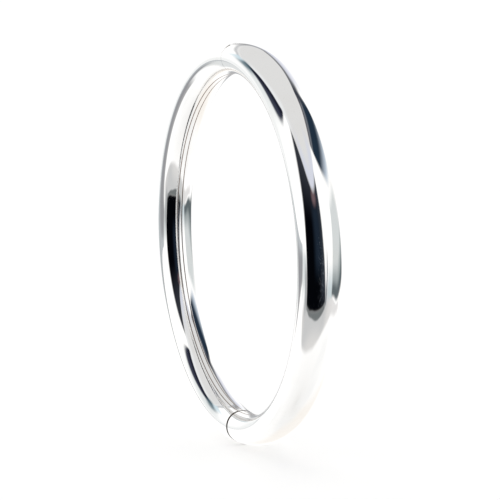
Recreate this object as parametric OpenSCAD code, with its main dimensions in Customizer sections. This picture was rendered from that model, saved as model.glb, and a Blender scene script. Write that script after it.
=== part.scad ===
// Hinged bangle bracelet in polished silver: two hollow half hoops, a five-knuckle
// hinge at the top and a box catch with a sprung tongue and a thumb tab at the bottom.
// The hoop stands upright: its axis runs along Y, and the origin is its centre.

/* [Hoop] */
// Diameter of the wrist opening, across the flat inner band
inner_d = 60; // [54:1:68]
// Width of the hoop along its axis
band_w = 7; // [6.8:0.1:8]
// Thickness of the hoop, from the inner band to the crown
band_t = 5.3; // [5.2:0.1:6]
// Wall of the drawn silver tube
wall = 0.6; // [0.45:0.05:0.65]
// Width of the strip that closes the tube on its inner side
strip_w = 0.9; // [0.8:0.1:2]

/* [Hinge] */
// Direction of the hinge seen along the axis, from +X towards +Z
hinge_a = 81; // [80:0.5:92]
// Outer radius of the hinge knuckles
knuckle_r = 1.0; // [0.9:0.05:1.1]
// Radius of the hinge pin
pin_r = 0.5; // [0.4:0.05:0.5]
// Length of the whole row of five knuckles
knuckles_l = 3.6; // [3:0.1:3.8]

/* [Catch] */
// Direction of the catch seam seen along the axis, from +X towards +Z
clasp_a = 271.5; // [268:0.5:273]
// Slant of the catch seam from the radial direction
seam_tilt = 30; // [20:1:32]
// Gap between the two rims at the catch seam
seam_gap = 0.3; // [0.2:0.05:0.4]
// Width of the sprung tongue
tongue_w = 3.0; // [2.6:0.1:3.2]
// Thickness of the end plates
plate_t = 0.5; // [0.4:0.05:0.5]

/* [Hidden] */
fine = 240;
ri = inner_d/2;              // inner band
ro = ri + band_t;            // crown
rm = ri + band_t*0.5377;     // widest point of the section
ai = rm - ri + 0.12;         // inner half axis, clipped flat at the inner band
ao = ro - rm;                // outer half axis
hw = band_w/2;
e_out = 2;                   // 2 is a plain oval on the crown side
e_in = 2;                    // and on the wrist side
rh = ro - knuckle_r;         // hinge axis, so that the knuckles are flush with the crown
kn_pitch = knuckles_l/5;
kn_gap = 0.04;
swing_gap = 0.12;            // room round a knuckle in the half that turns past it
pin_fit = 0.03;              // radial running clearance of the pin
hinge_face = 0.05;           // each rim stands back from the hinge plane by this angle
block_a = 4.2;               // length of the hinge blocks, as an angle
path_a = 5.4;                // the tongue leaves along the arc about the hinge
leaf_g = 0.15;
base_lo = -0.82;
base_t = 0.35;
leaf_t = 0.30;
bead_r = 0.40;
bead_v = base_lo + bead_r;
bead_w = -5.3;
leaf_lo = base_lo + base_t + leaf_g;
leaf_hi = leaf_lo + leaf_t;
step_hi = 0.45;
lip_v = 0.55;                // upper edge of the mouth, which holds the raised leaf
mouth_lo = -0.95;
notch_z = 1.15;
notch_v = ao - wall - 0.3;
silver = [0.86, 0.87, 0.88];
bright = [0.93, 0.93, 0.94];
dark = [0.62, 0.63, 0.65];

// section of the hoop, o inside the outer surface
function sgn(x) = x < 0 ? -1 : 1;
function section(o, n = 72) = [for (i = [0:n - 1])
    let (t = 360*(i + 0.5)/n, c = cos(t), s = sin(t),
         e = c >= 0 ? e_out : e_in, a = (c >= 0 ? ao : ai) - o,
         x = rm + a*sgn(c)*pow(abs(c), 2/e), y = (hw - o)*sgn(s)*pow(abs(s), 2/e))
    [max(x, ri + o), y]];

// X towards the crown, Y along the hoop and Z along its axis, turned upright
module upright() rotate([90, 0, 0]) children();
module arc(a0, a1) rotate([0, 0, a0]) rotate_extrude(angle = a1 - a0, $fn = fine) children();
module at_hinge() rotate([0, 0, hinge_a]) translate([rh, 0, 0]) children();
// X outwards, Y the way the tongue leaves
module at_catch() rotate([0, 0, clasp_a]) translate([rm, 0, 0]) rotate([0, 0, -path_a]) children();
module at_seam() rotate([0, 0, clasp_a]) translate([rm, 0, 0]) rotate([0, 0, seam_tilt]) children();
// the space on one side of the catch seam, from d off its middle
module past_seam(side, d) at_seam() translate([-9, side > 0 ? d : -d - 14, -6]) cube([18, 14, 12]);

// a = 0: knuckles 1, 3 and 5 belong to this half; a = 1: knuckles 2 and 4
module hinge_pockets(a) at_hinge() {
    for (k = [0:4])
        translate([0, 0, -knuckles_l/2 + k*kn_pitch])
            cylinder(r = k % 2 == a ? knuckle_r : knuckle_r + swing_gap, h = kn_pitch, $fn = 64);
    // past the row each rim is filed back by half the swing
    for (s = [0, 1]) mirror([0, 0, s]) translate([0, 0, knuckles_l/2 - (a == 0 ? 0 : 0.01)])
        linear_extrude(2.5) polygon([[-0.12, 0], [1.4, -0.77], [1.4, 0.77]]);
}

module tube_section() difference() {
    polygon(section(0));
    polygon(section(wall));
    translate([ri - 1, -strip_w/2]) square([1 + wall + 0.05, strip_w]);
}
module strip_section() translate([ri, -strip_w/2 + 0.015]) square([wall, strip_w - 0.03]);
module cavity_section() polygon(section(wall));
module notch() at_catch() translate([notch_v, -2.35, -notch_z]) cube([4, 8, 2*notch_z]);

module shell_catch_half() color(silver) upright() difference() {
    arc(hinge_a + hinge_face, clasp_a + 9) tube_section();
    hinge_pockets(0);
    past_seam(1, -seam_gap/2);
    notch();
}
module strip_catch_half() color(bright) upright() difference() {
    arc(hinge_a + hinge_face, clasp_a + 9) strip_section();
    past_seam(1, -seam_gap/2);
}
module hinge_block_catch_half() color(dark) upright() difference() {
    arc(hinge_a + hinge_face, hinge_a + block_a) cavity_section();
    hinge_pockets(0);
}
module shell_tongue_half() color(silver) upright() difference() {
    arc(clasp_a - 9, hinge_a + 360 - hinge_face) tube_section();
    hinge_pockets(1);
    past_seam(-1, -seam_gap/2);
}
module strip_tongue_half() color(bright) upright() difference() {
    arc(clasp_a - 9, hinge_a + 360 - hinge_face) strip_section();
    past_seam(-1, -seam_gap/2);
}
module hinge_block_tongue_half() color(dark) upright() difference() {
    arc(hinge_a - block_a, hinge_a - hinge_face) cavity_section();
    hinge_pockets(1);
}

// a knuckle is a short tube, filed flush with the crown
module knuckle(k, bore) color(silver) upright() difference() {
    intersection() {
        at_hinge() translate([0, 0, -knuckles_l/2 + (k - 1)*kn_pitch + kn_gap/2])
            cylinder(r = knuckle_r, h = kn_pitch - kn_gap, $fn = 64);
        arc(hinge_a - 5, hinge_a + 5) polygon(section(0));
    }
    at_hinge() translate([0, 0, -5]) cylinder(r = bore, h = 10, $fn = 48);
}
module knuckle_1() knuckle(1, pin_r);
module knuckle_3() knuckle(3, pin_r);
module knuckle_5() knuckle(5, pin_r);
module knuckle_2() knuckle(2, pin_r + pin_fit);
module knuckle_4() knuckle(4, pin_r + pin_fit);
module hinge_pin() color(dark) upright() at_hinge()
    translate([0, 0, -knuckles_l/2 + 0.05]) cylinder(r = pin_r, h = knuckles_l - 0.1, $fn = 48);

// the plate that closes the catch half: a wide mouth, and a narrow slot for the tab's stem
module mouth_plate() color(bright) upright() difference() {
    intersection() {
        arc(clasp_a - 12, clasp_a + 12) cavity_section();
        at_seam() translate([-5, -seam_gap/2 - plate_t, -5]) cube([10, plate_t, 10]);
    }
    at_catch() translate([mouth_lo, -4, -tongue_w/2 - 0.15]) cube([lip_v - mouth_lo, 8, tongue_w + 0.3]);
    at_catch() translate([0, -4, -0.8]) cube([4, 8, 1.6]);
    notch();
}
module catch_box() color(dark) upright() difference() {
    at_catch() difference() {
        translate([mouth_lo - 0.35, -6.5, -tongue_w/2 - 0.45]) cube([2.55, 7, tongue_w + 0.9]);
        translate([mouth_lo, -6.2, -tongue_w/2 - 0.15]) cube([1.9, 8, tongue_w + 0.3]);
        translate([0.5, -1.7, -0.8]) cube([3, 5, 1.6]);
    }
    past_seam(1, -seam_gap/2 - plate_t);
}
module tongue_plate() color(bright) upright() difference() {
    intersection() {
        arc(clasp_a - 12, clasp_a + 12) cavity_section();
        at_seam() translate([-5, seam_gap/2, -5]) cube([10, plate_t, 10]);
    }
    at_catch() translate([base_lo, -3, -tongue_w/2]) cube([base_t, 8, tongue_w]);
}
// lower leaf of the folded tongue, with the bead of the fold at its tip
module tongue_base() color(bright) upright() at_catch() {
    translate([base_lo, bead_w, -tongue_w/2]) cube([base_t, 3 - bead_w, tongue_w]);
    translate([bead_v, bead_w, -tongue_w/2]) cylinder(r = bead_r, h = tongue_w, $fn = 48);
}
// upper leaf, drawn pressed down: it turns about the fold and catches behind the mouth plate
module spring_leaf() color(bright) upright() at_catch() difference() {
    translate([0, 0, -tongue_w/2]) linear_extrude(tongue_w) polygon([
        [leaf_lo, bead_w], [leaf_hi, bead_w], [leaf_hi, -1.45], [step_hi, -1.30],
        [step_hi, -0.62], [leaf_lo, -1.15]]);
    translate([bead_v, bead_w, -5]) cylinder(r = bead_r + pin_fit, h = 10, $fn = 48);
}
// stem and grooved thumb pad, filed to the line of the crown
module thumb_tab() color(silver) upright() difference() {
    intersection() {
        at_catch() {
            translate([step_hi, -1.25, -0.6]) cube([notch_v + 0.3 - step_hi, 0.6, 1.2]);
            translate([notch_v + 0.25, -1.9, -1]) cube([2, 2.75, 2]);
        }
        arc(clasp_a - 8, clasp_a + 8) polygon(section(0));
    }
    at_catch() for (i = [0:3]) translate([ao - 0.08, -1.45 + i*0.6, -2]) cube([1, 0.22, 4]);
}

shell_catch_half();
strip_catch_half();
hinge_block_catch_half();
knuckle_1();
knuckle_3();
knuckle_5();
hinge_pin();
mouth_plate();
catch_box();
shell_tongue_half();
strip_tongue_half();
hinge_block_tongue_half();
knuckle_2();
knuckle_4();
tongue_plate();
tongue_base();
spring_leaf();
thumb_tab();
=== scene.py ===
import math

import bmesh
import bpy
import numpy as np
from mathutils import Matrix, Vector
from mathutils.bvhtree import BVHTree


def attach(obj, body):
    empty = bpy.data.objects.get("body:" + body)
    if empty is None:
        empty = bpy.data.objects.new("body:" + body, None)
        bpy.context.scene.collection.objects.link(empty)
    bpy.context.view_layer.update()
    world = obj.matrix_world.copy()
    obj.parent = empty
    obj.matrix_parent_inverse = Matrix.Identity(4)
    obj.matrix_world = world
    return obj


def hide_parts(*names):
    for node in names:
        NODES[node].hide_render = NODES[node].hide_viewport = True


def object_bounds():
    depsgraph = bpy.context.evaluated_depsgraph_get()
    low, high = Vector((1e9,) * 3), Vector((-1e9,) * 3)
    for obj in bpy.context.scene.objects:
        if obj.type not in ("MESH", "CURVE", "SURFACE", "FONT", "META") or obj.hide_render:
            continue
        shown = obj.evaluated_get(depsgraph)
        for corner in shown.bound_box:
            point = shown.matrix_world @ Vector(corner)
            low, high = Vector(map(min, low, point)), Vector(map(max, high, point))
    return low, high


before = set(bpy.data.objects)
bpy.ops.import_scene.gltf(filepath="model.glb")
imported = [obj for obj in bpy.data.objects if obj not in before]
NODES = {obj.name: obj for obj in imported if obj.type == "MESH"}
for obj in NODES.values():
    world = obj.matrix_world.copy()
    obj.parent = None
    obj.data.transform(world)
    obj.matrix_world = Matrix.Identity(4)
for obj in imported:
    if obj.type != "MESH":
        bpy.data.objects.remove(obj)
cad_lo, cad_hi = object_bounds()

scene = bpy.context.scene
rad = math.radians
MM = 0.001

# ---------------------------------------------------------------- the hoop's own figures, as in part.scad (mm)
RI, RO = 30.0, 35.3
RM = RI + 5.3 * 0.5377
AI, AO, HW = RM - RI + 0.12, RO - RM, 3.5
WALL, STRIP_W = 0.6, 0.9
HINGE_A, FACE, RH = 81.0, 0.05, RO - 1.0
KN_R, KN_L, SWING = 1.0, 3.6, 0.12
PITCH = KN_L / 5
CLASP_A, PATH_A, TILT, GAP = 271.5, 5.4, 30.0, 0.3
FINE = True


# ---------------------------------------------------------------- camera at the photograph's viewing angle
cam_data = bpy.data.cameras.new("camera")
cam = bpy.data.objects.new("camera", cam_data)
scene.collection.objects.link(cam)
scene.camera = cam
az, el, roll = rad(67.79), rad(3.5), rad(-2.32)
back = Vector((math.sin(az) * math.cos(el), -math.cos(az) * math.cos(el), math.sin(el)))
right = Vector((math.cos(az), math.sin(az), 0.0))
up = back.cross(right)
r_ax = right * math.cos(roll) + up * math.sin(roll)
u_ax = up * math.cos(roll) - right * math.sin(roll)
m = Matrix((r_ax, u_ax, back)).transposed().to_4x4()
m.translation = back * 0.193
cam.matrix_world = m
cam_data.sensor_width = 36.0
cam_data.lens = 78.23
cam_data.shift_x, cam_data.shift_y = 0.02766, -0.01036
cam_data.clip_start, cam_data.clip_end = 0.005, 20.0
scene.view_settings.view_transform = "Standard"
scene.view_settings.look = "None"


# ---------------------------------------------------------------- node helpers
def lin(c):
    """A colour given as 0-255 display values, as linear light."""
    out = []
    for v in c:
        v /= 255.0
        out.append(v / 12.92 if v <= 0.04045 else ((v + 0.055) / 1.055) ** 2.4)
    return tuple(out) + (1.0,)


class Net:
    """Short ways to add maths nodes to one node tree."""

    def __init__(self, tree):
        self.t = tree
        tree.nodes.clear()

    def node(self, kind, **settings):
        n = self.t.nodes.new(kind)
        for k, v in settings.items():
            setattr(n, k, v)
        return n

    def put(self, sock, v):
        if isinstance(v, bpy.types.NodeSocket):
            self.t.links.new(v, sock)
        else:
            sock.default_value = v

    def m(self, op, a, b=None, c=None, clamp=False):
        n = self.node("ShaderNodeMath", operation=op, use_clamp=clamp)
        for i, v in enumerate((a, b, c)):
            if v is not None:
                self.put(n.inputs[i], v)
        return n.outputs[0]

    def add(self, a, b): return self.m("ADD", a, b)
    def sub(self, a, b): return self.m("SUBTRACT", a, b)
    def mul(self, *v):
        out = v[0]
        for x in v[1:]:
            out = self.m("MULTIPLY", out, x)
        return out
    def inv(self, a): return self.m("SUBTRACT", 1.0, a)

    def step(self, v, lo, hi):
        """0 below lo, 1 above hi, smooth between."""
        n = self.node("ShaderNodeMapRange", interpolation_type="SMOOTHSTEP", clamp=True)
        self.put(n.inputs["Value"], v)
        n.inputs["From Min"].default_value = lo
        n.inputs["From Max"].default_value = hi
        return n.outputs["Result"]

    def ramp(self, v, lo, hi, a, b):
        n = self.node("ShaderNodeMapRange", clamp=True)
        self.put(n.inputs["Value"], v)
        for k, x in (("From Min", lo), ("From Max", hi), ("To Min", a), ("To Max", b)):
            n.inputs[k].default_value = x
        return n.outputs["Result"]

    def curve(self, x01, pts, lo, hi):
        """A curve through the given pts; x01 runs from 0 to 1 and the result from lo to hi."""
        n = self.node("ShaderNodeFloatCurve")
        c = n.mapping.curves[0]
        while len(c.points) < len(pts):
            c.points.new(0.5, 0.5)
        for p, (x, y) in zip(c.points, sorted(pts)):
            p.location = (x, (y - lo) / (hi - lo))
            p.handle_type = "AUTO_CLAMPED"
        n.mapping.update()
        self.put(n.inputs["Value"], x01)
        return self.add(self.mul(n.outputs["Value"], hi - lo), lo)

    def mix_f(self, a, b, f):
        return self.add(self.mul(a, self.inv(f)), self.mul(b, f))

    def mix(self, a, b, f):
        n = self.node("ShaderNodeMix", data_type="RGBA", clamp_factor=True)
        self.put(n.inputs["Factor"], f)
        self.put([s for s in n.inputs if s.name == "A" and s.type == "RGBA"][0], a)
        self.put([s for s in n.inputs if s.name == "B" and s.type == "RGBA"][0], b)
        return [s for s in n.outputs if s.type == "RGBA"][0]


# ---------------------------------------------------------------- studio: a white tent with one dark opening
def studio():
    world = bpy.data.worlds.new("studio")
    scene.world = world
    world.use_nodes = True
    k = Net(world.node_tree)
    tc = k.node("ShaderNodeTexCoord")
    sp = k.node("ShaderNodeSeparateXYZ")
    k.put(sp.inputs[0], tc.outputs["Generated"])
    x, y, z = sp.outputs
    el = k.mul(k.m("ARCSINE", k.m("MAXIMUM", k.m("MINIMUM", z, 1.0), -1.0)), 180 / math.pi)
    az = k.mul(k.m("ARCTAN2", x, k.mul(y, -1.0)), 180 / math.pi)      # 0 from the -Y side, 90 from +X
    az2 = k.m("FLOORED_MODULO", az, 360.0)                             # the same, 0 to 360
    u = k.mul(k.add(az, 180.0), 1 / 360)
    u2 = k.mul(az2, 1 / 360)
    v = k.mul(k.add(el, 90.0), 1 / 180)

    def edge(pts):          # elevation of an edge by azimuth, -180 to 180
        return k.curve(u, [((a + 180) / 360, e) for a, e in pts], -90, 90)

    def edge2(pts):         # the same by azimuth 0 to 360
        return k.curve(u2, [(a / 360, e) for a, e in pts], -90, 90)

    def side(pts):          # azimuth of an edge by elevation
        return k.curve(v, [((e + 90) / 180, a) for a, e in pts], -180, 180)

    def over(e, soft):      # above an edge
        d = k.sub(el, e) if isinstance(e, bpy.types.NodeSocket) else k.sub(el, float(e))
        return k.step(d, -soft, soft)

    def under(e, soft): return k.inv(over(e, soft))

    def between(a, b, sa, sb, which=None):
        q = az if which is None else which
        return k.mul(k.step(k.sub(q, a), -sa, sa), k.inv(k.step(k.sub(q, b), -sb, sb)))

    def spot(a, e, ra, re):
        p, q = k.mul(k.sub(az, a), 1 / ra), k.mul(k.sub(el, e), 1 / re)
        return k.inv(k.step(k.m("SQRT", k.add(k.mul(p, p), k.mul(q, q))), 0.2, 1.0))

    # white walls, a little dimmer towards the table, with a slow unevenness
    cloud = k.node("ShaderNodeTexNoise")
    cloud.inputs["Scale"].default_value = 1.7
    cloud.inputs["Detail"].default_value = 1.0
    k.put(cloud.inputs["Vector"], tc.outputs["Generated"])
    col = k.mix((0.845, 0.84, 0.83, 1.0), (1.12, 1.12, 1.12, 1.0), k.m("SQRT", k.ramp(el, -90, -22, 0.0, 1.0)))
    col = k.mix(col, (0.86, 0.87, 0.875, 1.0), k.mul(k.step(cloud.outputs["Fac"], 0.5, 0.75), 0.35))
    top = edge([(-180, 58.5), (-165, 56.5), (-150, 51), (-137, 43.5), (-129, 38), (-123, 32), (-118, 27), (-112, 30), (-105, 35), (-95, 40), (-78, 42),
                (-62, 38), (-50, 42), (-42, 47), (-30, 52.5), (-15, 57), (0, 59.5), (12, 61), (30, 57), (45, 52.5),
                (60, 44.5), (75, 34), (88, 29), (97, 31.5), (107, 39), (127, 50.5), (150, 57), (180, 58.5)])
    drop = k.sub(top, el)                                              # how far below the ceiling's edge
    # left wall: a faint grey light, brighter towards the opening
    diag = edge([(-180, -30), (-80, -14), (-60, 2), (-30, 24), (0, 46), (20, 62), (180, 62)])
    col = k.mix(col, lin((233, 237, 238)), k.mul(between(-61, 5, 6, 14), over(3, 5), over(diag, 9)))
    # warm light off the table
    col = k.mix(col, lin((253, 248, 242)), k.mul(between(-160, -98, 15, 12), under(-32, 10), over(-66, 10), 0.8))
    # ceiling
    col = k.mix(col, lin((225, 225, 225)), over(top, 3.0))
    col = k.mix(col, lin((241, 244, 247)), k.mul(over(top, 2.0), under(k.add(top, 9.0), 6.0), between(-58, 40, 12, 14), 0.75))
    col = k.mix(col, lin((212, 217, 234)), k.mul(over(top, 2.0), under(k.add(top, 14.0), 9.0), between(58, 118, 12, 12), 0.75))
    # shade on the floor in front of the opening
    low = edge([(-180, -5), (-20, -8), (-8, -15), (4, -28), (15, -39), (30, -47), (45, -52), (60, -54), (80, -54.5), (95, -52),
                (110, -47), (120, -42), (135, -35), (148, -27), (165, -18), (180, -14)])
    shade = k.mul(over(low, 2.6), under(-20, 5.0), between(-8, 146, 7, 8))
    col = k.mix(col, lin((222, 221, 220)), shade)
    col = k.mix(col, lin((203, 204, 205)), k.mul(shade, over(-45, 8.0), between(10, 122, 14, 10)))
    # floor just left of the opening
    col = k.mix(col, lin((224, 229, 230)), k.mul(between(-12, 24, 10, 8), over(-15, 5.0), under(-3, 3.0)))
    col = k.mix(col, lin((168, 171, 174)), k.mul(between(12, 26, 6, 4), over(-25, 4), under(-8, 5)))
    # the dark opening
    left = side([(27, -90), (27, -30), (26.5, -8), (27.5, 5), (29, 20), (30, 40), (31, 60), (31, 90)])
    rite = side([(115, -90), (115, -30), (111, -18), (107, -5), (105, 6), (104.5, 22), (105, 32), (106, 40), (106, 90)])
    base = edge([(-180, -24), (20, -24), (30, -25.5), (45, -30), (60, -32), (78, -33.5), (92, -33), (105, -31), (115, -28), (180, -26)])
    sill = k.sub(base, k.ramp(k.m("ABSOLUTE", k.sub(az, 84.0)), 5, 55, 5.0, 1.5))
    soft_l = k.m("ADD", k.mul(k.step(k.sub(az, left), -2.2, 2.4), k.inv(over(12, 10))),
                 k.mul(k.step(k.sub(az, left), -3.0, 6.5), over(12, 10)))
    hole = k.mul(soft_l, k.inv(k.step(k.sub(az, rite), -2.5, 2.0)), over(base, 1.3), under(top, 2.8))
    foot_of = k.mul(soft_l, k.inv(k.step(k.sub(az, rite), -2.5, 2.0)), over(sill, 0.8), under(base, 1.3))
    col = k.mix(col, lin((116, 121, 122)), foot_of)
    dark = k.mix(lin((4, 5, 9)), lin((50, 53, 61)), k.mul(k.step(el, 10, 42), 0.95))
    dark = k.mix(dark, lin((33, 44, 58)), k.mul(between(72, 96, 10, 8), over(-12, 8.0), under(22, 6.0), 0.8))
    dark = k.mix(dark, lin((56, 62, 72)), k.mul(between(96, 120, 7, 3), over(-26, 8.0), 0.75))
    dark = k.mix(dark, lin((122, 100, 104)), k.mul(spot(85, 25.5, 13, 7), 0.8))
    glint = k.node("ShaderNodeTexNoise")
    glint.inputs["Scale"].default_value = 46.0
    glint.inputs["Detail"].default_value = 2.0
    k.put(glint.inputs["Vector"], tc.outputs["Generated"])
    dark = k.mix(dark, lin((196, 204, 214)), k.mul(k.step(glint.outputs["Fac"], 0.665, 0.70), between(86, 108, 5, 3), over(-30, 3), under(4, 6), 0.8))
    col = k.mix(col, dark, hole)
    col = k.mix(col, lin((98, 108, 118)), k.mul(between(115.6, 118.6, 1.0, 1.0), over(-29, 1.5), under(-5, 8)))
    # dark upper edge of the left wall
    lens_lo = edge([(-180, 60), (-66, 33), (-57, 31), (-45, 31), (-30, 31.5), (-15, 36), (0, 45), (9, 55), (14, 60), (180, 60)])
    lens = k.mul(over(lens_lo, 4.2), under(k.sub(top, 0.5), 2.0), between(-57, 13, 6, 5))
    col = k.mix(col, lin((58, 62, 78)), lens)
    col = k.mix(col, lin((30, 32, 48)), k.mul(lens, k.inv(k.step(drop, 5, 14))))
    col = k.mix(col, lin((92, 116, 128)), k.mul(spot(-56.5, 31, 10, 15), 0.85))
    # right wall: a brown line, dark glass-blue shade that pales downwards, and the line at its foot
    wedge_lo = edge2([(0, 60), (116, 59), (125, 50), (134, 38.5), (147, 28.5), (165, 22), (180, 22), (195, 30), (206, 52), (360, 60)])
    wedge = k.mul(over(wedge_lo, 4.0), under(k.sub(top, 0.4), 1.8), between(125, 200, 2.5, 7, az2))
    tone = k.mix(lin((34, 49, 65)), lin((196, 208, 222)), k.step(drop, 20, 36))
    tone = k.mix(tone, lin((132, 136, 143)), k.mul(k.step(drop, 2.2, 4.0), k.inv(k.step(drop, 5.0, 9.0)), 0.75))
    tone = k.mix(tone, lin((86, 80, 87)), k.inv(k.step(drop, 1.5, 3.6)))
    col = k.mix(col, tone, wedge)
    col = k.mix(col, lin((204, 216, 220)), k.mul(between(121, 141, 4, 2, az2), over(-25, 2.5), k.inv(k.step(el, -21, -4)), 0.95))
    foot = edge2([(0, -20), (120, -22.5), (140, -21.8), (150, -21), (165, -20), (175, -17.6), (183, -15), (195, -11.5), (205, -9.3),
                  (216, -7), (240, -5), (360, -4)])
    up_ = k.sub(el, foot)
    side_l = k.step(k.sub(az2, k.ramp(el, -8, 12, 139, 145)), -2.0, 3.0)
    veil = k.mul(side_l, k.inv(k.step(k.sub(az2, k.ramp(el, -12, 18, 232, 176)), -14, 10)), k.step(up_, -1.4, 1.2), under(16, 4.0))
    tone = k.mix(lin((86, 97, 101)), lin((152, 161, 163)), k.step(up_, 3.0, 7.5))
    tone = k.mix(tone, lin((213, 218, 219)), k.step(up_, 6.0, 15.0))
    col = k.mix(col, tone, k.mul(veil, 0.97))
    tail = edge2([(0, -33), (130, -32), (150, -29), (165, -26), (180, -21), (360, -10)])
    col = k.mix(col, lin((227, 226, 226)), k.mul(between(132, 184, 5, 5, az2), over(tail, 2.0), k.inv(k.step(up_, -2.2, -0.8)), 0.9))
    # the same edge round the back, thin
    arch = k.mul(k.inv(k.step(drop, 6.0, 15.0)), under(k.add(top, 0.2), 1.4), between(186, 252, 8, 6, az2))
    col = k.mix(col, lin((58, 62, 72)), k.mul(arch, k.ramp(az2, 190, 250, 1.0, 0.72)))
    col = k.mix(col, lin((220, 223, 236)), k.mul(k.step(drop, 3.5, 8.0), k.inv(k.step(drop, 12.0, 26.0)), between(212, 243, 8, 4, az2), 0.8))
    # back wall
    col = k.mix(col, lin((188, 190, 193)), k.mul(k.inv(k.step(drop, 1.5, 4.5)), under(top, 1.6), between(-119, -64, 3, 4), 0.85))
    col = k.mix(col, lin((206, 226, 236)), k.mul(between(-70, -60, 3, 3), over(28, 6), under(top, 2), 0.85))
    col = k.mix(col, lin((238, 241, 242)), k.mul(between(-101, -56, 4, 6), over(-2, 4), under(6, 6), 0.8))

    # far background behind the hoop, which draws its outline
    col = k.mix(col, lin((150, 152, 156)), k.mul(between(-119, -101, 3, 4), over(-8, 4), under(3, 3), 0.8))

    bg = k.node("ShaderNodeBackground")
    k.put(bg.inputs["Color"], col)
    plain = k.node("ShaderNodeBackground")
    plain.inputs["Color"].default_value = (1.0, 1.0, 1.0, 1.0)
    plain.inputs["Strength"].default_value = 1.05
    lp = k.node("ShaderNodeLightPath")
    mx = k.node("ShaderNodeMixShader")
    k.t.links.new(lp.outputs["Is Camera Ray"], mx.inputs[0])
    k.t.links.new(bg.outputs[0], mx.inputs[1])
    k.t.links.new(plain.outputs[0], mx.inputs[2])
    out = k.node("ShaderNodeOutputWorld")
    k.t.links.new(mx.outputs[0], out.inputs[0])
    world.cycles.sampling_method = "MANUAL"
    world.cycles.sample_map_resolution = 512


studio()


# ---------------------------------------------------------------- materials
def material(name, base, tint, rough, rough_var, scratch, wave=0.0, grain=None, dust=0.0, metallic=1.0):
    """Worked metal. base and tint are its two tones, rough the polish, scratch the depth of the hairlines in micrometres,
    wave the slow unevenness of hand polishing in micrometres, grain a stretch of the brush marks along X, Y, Z."""
    mat = bpy.data.materials.new(name)
    mat.use_nodes = True
    k = Net(mat.node_tree)
    p = k.node("ShaderNodeBsdfPrincipled")
    p.inputs["Metallic"].default_value = metallic
    tc = k.node("ShaderNodeTexCoord")

    def noise(scale, detail=3.0, rough_=0.5, stretch=None, distort=0.0):
        n = k.node("ShaderNodeTexNoise")
        n.inputs["Scale"].default_value = scale
        n.inputs["Detail"].default_value = detail
        n.inputs["Roughness"].default_value = rough_
        n.inputs["Distortion"].default_value = distort
        src = tc.outputs["Object"]
        if stretch:
            mp = k.node("ShaderNodeMapping")
            mp.inputs["Scale"].default_value = stretch
            k.put(mp.inputs["Vector"], src)
            src = mp.outputs["Vector"]
        k.put(n.inputs["Vector"], src)
        return n.outputs["Fac"]

    smudge = k.step(noise(160.0, 4.0, 0.6, None, 0.6), 0.46, 0.72)      # 6 mm patches
    fine = noise(2600.0, 3.0, 0.6)                                       # 0.4 mm
    # hairlines: two families of thin cells drawn out in different directions
    hairs = None
    for turn, sc in (((0.3, 0.9, 0.2), (9000.0, 500.0, 9000.0)), ((1.1, 0.2, 0.7), (700.0, 8000.0, 7000.0))):
        mp = k.node("ShaderNodeMapping")
        mp.inputs["Rotation"].default_value = turn
        mp.inputs["Scale"].default_value = sc
        k.put(mp.inputs["Vector"], tc.outputs["Object"])
        n = k.node("ShaderNodeTexNoise")
        n.inputs["Scale"].default_value = 1.0
        n.inputs["Detail"].default_value = 1.0
        k.put(n.inputs["Vector"], mp.outputs["Vector"])
        h = k.step(n.outputs["Fac"], 0.68, 0.76)
        hairs = h if hairs is None else k.m("MAXIMUM", hairs, h)
    brush = noise(1.0, 2.0, 0.55, grain) if grain else fine
    col = k.mix(tuple(base) + (1.0,), tuple(tint) + (1.0,), k.mul(smudge, 0.55))
    if grain:
        col = k.mix(col, tuple(c * 0.86 for c in base) + (1.0,), k.mul(k.step(brush, 0.45, 0.7), 0.5))
    k.put(p.inputs["Base Color"], col)
    r = k.add(k.ramp(fine, 0.3, 0.7, rough - rough_var * 0.5, rough + rough_var * 0.5), k.mul(smudge, rough_var * 0.8))
    r = k.add(r, k.mul(hairs, 0.05))
    if grain:
        r = k.add(r, k.mul(k.sub(brush, 0.5), rough_var * 1.5))
    k.put(p.inputs["Roughness"], r)
    height = k.mul(hairs, -scratch)
    if grain:
        height = k.add(height, k.mul(brush, scratch * 3))
    if wave:
        height = k.add(height, k.mul(noise(170.0, 1.0, 0.4), wave))
    b = k.node("ShaderNodeBump")
    b.inputs["Distance"].default_value = 1e-6
    k.put(b.inputs["Height"], height)
    k.put(p.inputs["Normal"], b.outputs["Normal"])
    out = k.node("ShaderNodeOutputMaterial")
    k.t.links.new(p.outputs[0], out.inputs[0])
    return mat


silver = material("silver_mirror", (0.965, 0.96, 0.95), (0.93, 0.915, 0.89), 0.035, 0.03, 0.10, wave=2.0)
silver_in = material("silver_mirror_band", (0.955, 0.95, 0.94), (0.92, 0.905, 0.88), 0.06, 0.04, 0.14, wave=2.0)
silver_raw = material("silver_tube_inside", (0.62, 0.60, 0.57), (0.42, 0.38, 0.33), 0.34, 0.16, 0.6, wave=4.0)
rim = material("silver_cut_rim", (0.26, 0.215, 0.18), (0.13, 0.10, 0.08), 0.34, 0.14, 0.5, grain=(3000.0, 900.0, 9000.0))
seam = material("silver_seam_patina", (0.42, 0.33, 0.28), (0.27, 0.205, 0.17), 0.30, 0.12, 0.3)
seam_dark = material("silver_catch_seam_dark", (0.085, 0.064, 0.05), (0.045, 0.035, 0.028), 0.36, 0.14, 0.4)
satin = material("silver_satin_filed", (0.72, 0.71, 0.69), (0.52, 0.49, 0.45), 0.27, 0.14, 0.5, grain=(800.0, 9000.0, 800.0))
plate_dark = material("silver_mouth_plate_oxidised", (0.36, 0.33, 0.30), (0.20, 0.17, 0.15), 0.33, 0.14, 0.5, grain=(900.0, 900.0, 9000.0))
spring = material("silver_spring_brushed", (0.82, 0.81, 0.79), (0.66, 0.63, 0.59), 0.19, 0.10, 0.4, grain=(1200.0, 12000.0, 1500.0))
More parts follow.
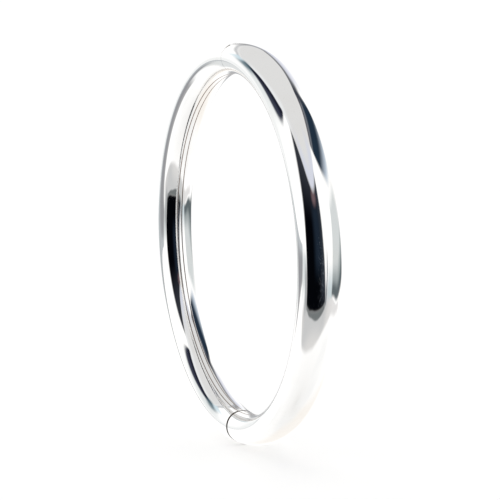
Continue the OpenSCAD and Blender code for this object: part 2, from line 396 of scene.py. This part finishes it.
steel = material("steel_drawn_pin", (0.60, 0.60, 0.61), (0.45, 0.44, 0.44), 0.24, 0.12, 0.4, grain=(9000.0, 500.0, 9000.0))


# ---------------------------------------------------------------- meshes
def upright(v):
    """part.scad's turn from the drawing plane to the standing hoop: its Z becomes -Y."""
    return Vector((v[0], -v[2], v[1]))


def at_hinge_m():
    return Matrix.Rotation(rad(HINGE_A), 4, "Z") @ Matrix.Translation((RH, 0, 0))


def at_catch_m():
    return Matrix.Rotation(rad(CLASP_A), 4, "Z") @ Matrix.Translation((RM, 0, 0)) @ Matrix.Rotation(rad(-PATH_A), 4, "Z")


def at_seam_m():
    return Matrix.Rotation(rad(CLASP_A), 4, "Z") @ Matrix.Translation((RM, 0, 0)) @ Matrix.Rotation(rad(TILT), 4, "Z")


def to_object(name, verts_mm, faces, mats, mat_index=None, drawing=True):
    """A mesh object in metres. Points are in the drawing plane's frame unless drawing is off."""
    me = bpy.data.meshes.new(name)
    pts = [tuple((upright(p) if drawing else Vector(p)) * MM) for p in verts_mm]
    me.from_pydata(pts, [], faces)
    for mt in mats:
        me.materials.append(mt)
    if mat_index is not None:
        me.polygons.foreach_set("material_index", mat_index)
    me.validate()
    me.update()
    ob = bpy.data.objects.new(name, me)
    scene.collection.objects.link(ob)
    return ob


def outer_profile(n, y_edge, fillet=0.08):
    """The C of the shell's section as a closed loop of (radius, axis) points, and where each part starts."""
    def sec(t, o):
        c, s = math.cos(t), math.sin(t)
        if o == 0:
            return RM + (AO if c >= 0 else RM - RI) * c, HW * s
        xx = RM + ((AO if c >= 0 else AI) - o) * c
        lo = RI + o
        xx = (xx + lo) / 2 + math.sqrt(((xx - lo) / 2) ** 2 + 0.02 ** 2)
        return xx, (HW - o) * s
    def t_at(y, o):
        return math.pi - math.asin(y / (HW - o))
    pts = []
    te = t_at(y_edge + fillet, 0)
    for i in range(n):                        # outside, from the slot's one edge round the crown to the other
        t = -te + 2 * te * i / (n - 1)
        pts.append(sec(t, 0) + (0,))
    x1 = sec(te, 0)[0]
    for q in (30, 60, 90):                    # slot edge, rounded, then its wall
        pts.append((x1 + fillet * (1 - math.cos(rad(q))), y_edge + fillet * (1 - math.sin(rad(q))), 1))
    ti = t_at(y_edge, WALL)
    x2 = sec(ti, WALL)[0]
    pts.append(((x1 + fillet + x2) / 2, y_edge, 1))
    n2 = max(40, n // 3)
    for i in range(n2):                       # inside
        t = ti - 2 * ti * i / (n2 - 1)
        pts.append(sec(t, WALL) + (2,))
    pts.append(((x1 + fillet + x2) / 2, -y_edge, 1))
    for q in (90, 60, 30):
        pts.append((x1 + fillet * (1 - math.cos(rad(q))), -y_edge - fillet * (1 - math.sin(rad(q))), 1))
    return pts


def strip_profile(half, fillet=0.08):
    def crown(y):
        return RM - (RM - RI) * math.sqrt(1 - (y / HW) ** 2)
    flat, x1 = half - fillet, RI + WALL
    pts = []
    for i in range(15):
        y = -flat + 2 * flat * i / 14
        pts.append((crown(y), y, 0))
    x0 = crown(flat)
    for q in (30, 60, 90):
        pts.append((x0 + fillet * (1 - math.cos(rad(q))), flat + fillet * math.sin(rad(q)), 1))
    pts.append((x1, half, 2))
    pts.append((x1, -half, 2))
    for q in (90, 60, 30):
        pts.append((x0 + fillet * (1 - math.cos(rad(q))), -flat - fillet * math.sin(rad(q)), 1))
    return pts


def normals_2d(pts):
    """Outward 2-D normals of a closed loop that runs with the metal on its left or right; the sign is set by the caller."""
    n = len(pts)
    out = []
    for i in range(n):
        a, b, c = pts[i - 1], pts[i], pts[(i + 1) % n]
        d1 = Vector((b[0] - a[0], b[1] - a[1]))
        d2 = Vector((c[0] - b[0], c[1] - b[1]))
        l1, l2 = max(d1.length, 1e-9), max(d2.length, 1e-9)
        d = d1 / l1 * l2 + d2 / l2 * l1        # centred difference on an uneven grid
        if d.length < 1e-9:
            d = d1
        d.normalize()
        out.append((d[1], -d[0]))
    return out


def seam_angle(r, side, extra=0.0):
    """Angle at which a circle of radius r meets the catch seam's face on that side."""
    d = side * (GAP / 2) + extra
    # the face is the line with normal nrm through the middle of the seam, moved by d
    a = rad(CLASP_A)
    mid = Vector((RM * math.cos(a), RM * math.sin(a)))
    nrm = Vector((-math.sin(a + rad(TILT)), math.cos(a + rad(TILT))))
    c = mid.dot(nrm) + d
    base = math.atan2(nrm[1], nrm[0])
    w = math.acos(max(-1, min(1, c / r)))
    best = min((base + w, base - w), key=lambda q: abs((q - a + math.pi) % (2 * math.pi) - math.pi))
    q = (best - a + math.pi) % (2 * math.pi) - math.pi + a
    return math.degrees(q)


def sweep(name, prof, half, rings, mats, round_end=0.13, part_mats=(0, 1, 2)):
    """Sweeps a closed section along one half of the hoop, from the hinge plane to the slanted seam, with a small round
    at the seam's rim.
    Returns the points, an analytic normal for each point, the rows of points, the faces, their material slots and
    whether the faces' winding was flipped."""
    nrm = normals_2d(prof)
    # outward sign: at the crown, or at the strip's wrist face
    ref = max(range(len(prof)), key=lambda i: prof[i][0]) if len(prof) > 60 else 7
    want = 1 if len(prof) > 60 else -1
    s = 1 if nrm[ref][0] * want > 0 else -1
    nrm = [(a * s, b * s) for a, b in nrm]
    n = len(prof)
    verts, vn, rows = [], [], []
    side = -1 if half == "catch" else 1
    hinge = HINGE_A + FACE if half == "catch" else HINGE_A + 360 - FACE
    ends = [seam_angle(x, side) for x, y, _ in prof]

    def ring(f, off, tang, ny):
        row = []
        for i, (x, y, part) in enumerate(prof):
            xx, yy = x - nrm[i][0] * off, y - nrm[i][1] * off
            e = ends[i] + side * math.degrees(tang / xx)
            th = rad(hinge + (e - hinge) * f) if f < 1 else rad(e)
            row.append(len(verts))
            verts.append((xx * math.cos(th), xx * math.sin(th), -yy))
            t_dir = Vector((-math.sin(th), math.cos(th), 0)) * (1 if half == "catch" else -1)
            rad_dir = Vector((math.cos(th), math.sin(th), 0))
            v = (rad_dir * nrm[i][0] + Vector((0, 0, -1)) * nrm[i][1]) * math.cos(ny) + t_dir * math.sin(ny)
            vn.append(upright(v.normalized()))
        rows.append(row)

    for j in range(rings):
        ring(j / rings, 0, round_end, 0)
    if round_end:
        for q in (0, 30, 60, 90):
            ring(1, round_end * (1 - math.cos(rad(q))), round_end * (1 - math.sin(rad(q))), rad(q))
    else:
        ring(1, 0, 0, 0)
    faces, idx, smooth = [], [], []
    flip = (half == "catch") != (s < 0)
    for j in range(len(rows) - 1):
        for i in range(n):
            a, b = rows[j][i], rows[j][(i + 1) % n]
            c, d = rows[j + 1][(i + 1) % n], rows[j + 1][i]
            faces.append((a, b, c, d) if flip else (d, c, b, a))
            pa, pb = prof[i][2], prof[(i + 1) % n][2]
            idx.append(3 if j >= rings and pa != 2 else part_mats[2] if pa == 2 and pb == 2 else part_mats[1] if 1 in (pa, pb) else part_mats[0])
            smooth.append(1)
    return verts, vn, rows, faces, idx, flip


def cap(rows, row, faces, idx, flip, which, split, n, mat):
    """Closes the C-shaped end of a sweep: outside points joined to inside points."""
    loop = rows[row]
    first = not flip if which == "start" else flip
    tri = split(loop)
    for f in tri:
        faces.append(tuple(f) if first else tuple(reversed(f)))
        idx.append(mat)


def ear_clip(points):
    """Triangles of a closed 2-D loop, by Blender's own polygon fill."""
    from mathutils.geometry import tessellate_polygon
    return tessellate_polygon([[Vector((x, y, 0)) for x, y in points]])


def finish_piece(name, verts, vn, faces, idx, mats, cutters, drawing=True):
    """Builds the closed mesh, cuts it with the cutters, and gives it back its smooth normals."""
    ob = to_object(name, verts, faces, mats, idx)
    bm = bmesh.new()
    bm.from_mesh(ob.data)
    bmesh.ops.recalc_face_normals(bm, faces=bm.faces)
    bm.to_mesh(ob.data)
    bm.free()
    src = ob.data.copy()
    vn = np.array([tuple(v) for v in vn], np.float64)
    src_co = np.zeros(len(src.vertices) * 3)
    src.vertices.foreach_get("co", src_co)
    src_co = src_co.reshape(-1, 3)
    swept = len(vn)
    if cutters:
        for c in cutters:
            md = ob.modifiers.new("cut", "BOOLEAN")
            md.operation, md.solver, md.object = "DIFFERENCE", "EXACT", c
        bpy.context.view_layer.update()
        dg = bpy.context.evaluated_depsgraph_get()
        new = bpy.data.meshes.new_from_object(ob.evaluated_get(dg))
        ob.modifiers.clear()
        ob.data = new
        for c in cutters:
            bpy.data.objects.remove(c)
    me = ob.data
    # interpolate the analytic normals of the uncut sweep
    polys = [tuple(p.vertices) for p in src.polygons]
    keep = [i for i, p in enumerate(polys) if max(p) < swept and len(p) == 4]
    bvh = BVHTree.FromPolygons([tuple(c) for c in src_co], [polys[i] for i in keep], all_triangles=False)
    face_n = {}
    out = [None] * len(me.loops)
    co = np.zeros(len(me.vertices) * 3)
    me.vertices.foreach_get("co", co)
    co = co.reshape(-1, 3)
    key = {tuple(np.round(c * 1e7).astype(int)): i for i, c in enumerate(src_co)}
    ends = me.attributes.get("flat_face")
    for p in me.polygons:
        flat = p.material_index >= len(mats) - 1          # the cut and cap material is the last slot
        for li in p.loop_indices:
            vi = me.loops[li].vertex_index
            if flat:
                out[li] = (0.0, 0.0, 0.0)
                continue
            kx = tuple(np.round(co[vi] * 1e7).astype(int))
            si = key.get(kx)
            if si is not None:
                nv = vn[si]
            else:
                hit = bvh.find_nearest(co[vi])
                if hit[2] is None:
                    out[li] = (0.0, 0.0, 0.0)
                    continue
                pv = polys[keep[hit[2]]]
                w = 1.0 / (np.linalg.norm(src_co[list(pv)] - co[vi], axis=1) + 1e-9)
                nv = (vn[list(pv)] * w[:, None]).sum(0)
            nv = nv / (np.linalg.norm(nv) + 1e-12)
            if np.dot(nv, p.normal) < 0.35:
                out[li] = (0.0, 0.0, 0.0)
            else:
                out[li] = tuple(nv)
    me.polygons.foreach_set("use_smooth", [True] * len(me.polygons))
    fl = [p.normal.copy() for p in me.polygons]
    for p in me.polygons:
        for li in p.loop_indices:
            if out[li] == (0.0, 0.0, 0.0):
                out[li] = tuple(fl[p.index])
    me.normals_split_custom_set(out)
    me.update()
    return ob


def box_cutter(mat4, lo, hi):
    pts = [mat4 @ Vector((x, y, z)) for x in (lo[0], hi[0]) for y in (lo[1], hi[1]) for z in (lo[2], hi[2])]
    faces = [(0, 1, 3, 2), (4, 6, 7, 5), (0, 4, 5, 1), (2, 3, 7, 6), (0, 2, 6, 4), (1, 5, 7, 3)]
    return cutter(pts, faces)


def prism_cutter(mat4, poly, z0, z1):
    n = len(poly)
    pts = [mat4 @ Vector((x, y, z)) for z in (z0, z1) for x, y in poly]
    faces = [tuple(range(n)), tuple(range(2 * n - 1, n - 1, -1))] + [(i, (i + 1) % n, n + (i + 1) % n, n + i) for i in range(n)]
    return cutter(pts, faces)


CUT_SLOTS = 5


def cutter(pts, faces):
    ob = to_object("cutter", pts, faces, [None] * CUT_SLOTS, [CUT_SLOTS - 1] * len(faces))
    bm = bmesh.new()
    bm.from_mesh(ob.data)
    bmesh.ops.recalc_face_normals(bm, faces=bm.faces)
    bm.to_mesh(ob.data)
    bm.free()
    ob.hide_render = True
    return ob


def revolved_hinge_cutter(which):
    """One closed turned body for the knuckle pockets: radius by zone along the hinge axis, so that the zones don't touch as separate cutters."""
    seg = 64 if FINE else 32
    steps = []
    for kz in range(5):
        z0, z1 = -KN_L / 2 + kz * PITCH, -KN_L / 2 + (kz + 1) * PITCH
        r, e = (KN_R, 0.004) if kz % 2 == which else (KN_R + SWING, -0.004)
        # the steps of the two halves pass each other with a hair of room
        steps += [(z0 + (e if kz > 0 else 0), r), (z1 - (e if kz < 4 else 0), r)]
    m4 = at_hinge_m()
    pts, rows, faces = [], [], []
    for z, r in steps:
        rows.append(list(range(len(pts), len(pts) + seg)))
        pts += [m4 @ Vector((r * math.cos(2 * math.pi * i / seg), r * math.sin(2 * math.pi * i / seg), z)) for i in range(seg)]
    for a, b in zip(rows, rows[1:]):
        faces += [(a[i], a[(i + 1) % seg], b[(i + 1) % seg], b[i]) for i in range(seg)]
    faces += [tuple(reversed(rows[0])), tuple(rows[-1])]
    return cutter(pts, faces)


def wedge_cutters():
    out = []
    for s in (-1, 1):
        z0, z1 = sorted((s * (KN_L / 2 - 0.005), s * (KN_L / 2 + 2.5)))
        out.append(prism_cutter(at_hinge_m(), [(-0.12, 0), (1.4, -0.77), (1.4, 0.77)], z0, z1))
    return out


def shell(half):
    n = 220 if FINE else 120
    prof = outer_profile(n, STRIP_W / 2)
    rings = 190 if FINE else 120
    mats = [silver, seam, silver_raw, seam_dark, rim]
    verts, vn, rows, faces, idx, flip = sweep(f"tube_{half}_half", prof, half, rings, mats)
    tri = ear_clip([(x, y) for x, y, _ in prof])
    for row in (0, -1):
        loop = rows[row]
        ids = {}
        for f in tri:
            g = []
            for q in f:
                if q not in ids:
                    ids[q] = loop[q]
                g.append(ids[q])
            faces.append(tuple(g))
            idx.append(4)
    cutters = [revolved_hinge_cutter(0 if half == "catch" else 1)] + wedge_cutters()
    if half == "catch":
        notch_v = AO - WALL - 0.3
        cutters.append(box_cutter(at_catch_m(), (notch_v, -2.35, -1.15), (notch_v + 4, 5.65, 1.15)))
    ob = finish_piece(f"tube_{half}_half", verts, vn, faces, idx, mats, cutters)
    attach(ob, f"{half}_half")
    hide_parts(f"shell_{half}_half")
    return ob


def strip(half):
    prof = strip_profile(STRIP_W / 2 - 0.02, 0.07)
    mats = [silver_in, seam, silver_raw, seam_dark, rim]
    verts, vn, rows, faces, idx, flip = sweep(f"band_{half}_half", prof, half, 190 if FINE else 120, mats, round_end=0.05)
    tri = ear_clip([(x, y) for x, y, _ in prof])
    for row in (0, -1):
        for f in tri:
            faces.append(tuple(rows[row][q] for q in f))
            idx.append(4)
    ob = finish_piece(f"band_{half}_half", verts, vn, faces, idx, mats, [])
    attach(ob, f"{half}_half")
    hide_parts(f"strip_{half}_half")
    return ob


for h in ("catch", "tongue"):
    shell(h)
    strip(h)

# ---------------------------------------------------------------- finishes of the CAD pieces that stay
for names, mt in ((("knuckle_1", "knuckle_2", "knuckle_3", "knuckle_4", "knuckle_5", "thumb_tab"), silver),
                  (("mouth_plate", "tongue_plate"), plate_dark),
                  (("catch_box", "hinge_block_catch_half", "hinge_block_tongue_half"), satin),
                  (("tongue_base", "spring_leaf"), spring),
                  (("hinge_pin",), steel)):
    for nm in names:
        o = NODES[nm]
        o.data.materials.clear()
        o.data.materials.append(mt)

# ---------------------------------------------------------------- floor
floor_z = cad_lo.z - 0.00002
bm = bmesh.new()
bmesh.ops.create_circle(bm, cap_ends=True, radius=2.5, segments=96)
fm = bpy.data.meshes.new("floor")
bm.to_mesh(fm)
bm.free()
floor = bpy.data.objects.new("floor", fm)
floor.location = (0, 0, floor_z)
scene.collection.objects.link(floor)
mat = bpy.data.materials.new("floor_paper")
mat.use_nodes = True
k = Net(mat.node_tree)
tcf = k.node("ShaderNodeTexCoord")
nz = k.node("ShaderNodeTexNoise")
nz.inputs["Scale"].default_value = 900.0
k.put(nz.inputs["Vector"], tcf.outputs["Object"])
pf = k.node("ShaderNodeBsdfPrincipled")
k.put(pf.inputs["Base Color"], k.mix((0.80, 0.785, 0.765, 1), (0.83, 0.82, 0.80, 1), nz.outputs["Fac"]))
pf.inputs["Roughness"].default_value = 0.9
pf.inputs["Specular IOR Level"].default_value = 0.1
pf.inputs["Emission Color"].default_value = (1.0, 1.0, 1.0, 1.0)
pf.inputs["Emission Strength"].default_value = 0.50
of_ = k.node("ShaderNodeOutputMaterial")
k.t.links.new(pf.outputs[0], of_.inputs[0])
fm.materials.append(mat)
floor.visible_glossy = False

# ---------------------------------------------------------------- painted reflection: a glowing grey card lying left of the hoop, seen only in the silver's reflections
def painted_reflection_card():
    n, radii = 60, (0.10, 0.16, 0.25, 0.4, 0.7, 1.2, 2.0)
    verts, faces = [], []
    for r in radii:
        for i in range(n + 1):
            a = rad(-130 + 140 * i / n)
            verts.append((r * math.sin(a), -r * math.cos(a), 0.0))
    for j in range(len(radii) - 1):
        for i in range(n):
            a = j * (n + 1) + i
            faces.append((a, a + 1, a + n + 2, a + n + 1))
    me = bpy.data.meshes.new("painted_reflection_card")
    me.from_pydata(verts, [], faces)
    ob = bpy.data.objects.new("painted_reflection_card", me)
    ob.location = (0, 0, floor_z + 0.00001)
    scene.collection.objects.link(ob)
    mt = bpy.data.materials.new("painted_reflection_grey")
    mt.use_nodes = True
    k = Net(mt.node_tree)
    tc = k.node("ShaderNodeTexCoord")
    sp = k.node("ShaderNodeSeparateXYZ")
    k.put(sp.inputs[0], tc.outputs["Object"])
    x, y, _ = sp.outputs
    r = k.m("SQRT", k.add(k.mul(x, x), k.mul(y, y)))
    a = k.mul(k.m("ARCTAN2", x, k.mul(y, -1.0)), 180 / math.pi)
    grey = k.step(k.sub(a, k.add(k.ramp(r, 0.24, 0.36, -59.0, -68.0), k.ramp(r, 0.6, 1.1, 0.0, -7.0))), -5.0, 5.0)
    near = k.sub(r, k.ramp(a, -42.0, -6.0, 0.128, 0.168))
    fade = k.mul(k.mix_f(k.step(r, 0.19, 0.30), k.step(near, -0.015, 0.012), grey), k.step(a, -102.0, -95.0), k.inv(k.step(a, -7.0, 4.0)),
                 k.inv(k.step(r, 1.6, 2.0)))
    # painted reflection: the greys the card glows with, a band that shows only in the silver's reflections
    tone = k.mix(lin((168, 168, 170)), lin((152, 153, 157)), k.step(r, 0.16, 0.22))
    tone = k.mix(tone, lin((189, 194, 198)), k.step(r, 0.34, 0.80))
    tone = k.mix(lin((226, 229, 230)), tone, grey)
    em = k.node("ShaderNodeEmission")
    k.put(em.inputs["Color"], tone)
    tr = k.node("ShaderNodeBsdfTransparent")
    mx = k.node("ShaderNodeMixShader")
    k.put(mx.inputs[0], fade)
    k.t.links.new(tr.outputs[0], mx.inputs[1])
    k.t.links.new(em.outputs[0], mx.inputs[2])
    out = k.node("ShaderNodeOutputMaterial")
    k.t.links.new(mx.outputs[0], out.inputs[0])
    me.materials.append(mt)
    # painted reflection: the card is hidden from the camera, from diffuse light and from shadows, so only reflections
    # in the silver show it
    ob.visible_camera = ob.visible_diffuse = ob.visible_shadow = False


painted_reflection_card()
